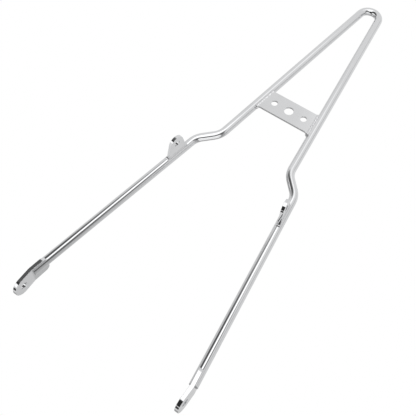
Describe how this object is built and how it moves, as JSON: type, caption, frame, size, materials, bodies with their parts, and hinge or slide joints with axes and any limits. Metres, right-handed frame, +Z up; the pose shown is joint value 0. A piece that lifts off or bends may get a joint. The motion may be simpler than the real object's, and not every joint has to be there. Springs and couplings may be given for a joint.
{
  "type": "motorbike sissy bar",
  "caption": "Tall narrow sissy bar: a round bar bent into a hoop, with a drilled cross plate, forward strut tabs and flat end tabs for the lower bolts.",
  "frame": {"origin": "middle of the lower bolt line, which runs through the holes of both end tabs", "axes": "+X across the motorbike to its rider's left when the strut tabs face forward, +Z up the bar to the hairpin, -Y forward, the way the strut tabs point"},
  "size_m": [0.2798, 0.0605, 0.7257],
  "materials": {
    "bar_chrome": "bright polished chrome",
    "plate_chrome": "bright chrome over cut flat plate",
    "tab_chrome": "bright chrome over cut flat plate",
    "weld_chrome": "bright chrome over rippled weld beads"
  },
  "bodies": {
    "root": {"hoop_bar": "bar_chrome", "cross_plate": "plate_chrome", "left_strut_tab": "tab_chrome", "right_strut_tab": "tab_chrome", "left_end_tab": "tab_chrome", "right_end_tab": "tab_chrome", "left_plate_welds": "weld_chrome", "right_plate_welds": "weld_chrome", "left_strut_tab_welds": "weld_chrome", "right_strut_tab_welds": "weld_chrome", "left_end_tab_welds": "weld_chrome", "right_end_tab_welds": "weld_chrome"}
  },
  "joints": []
}
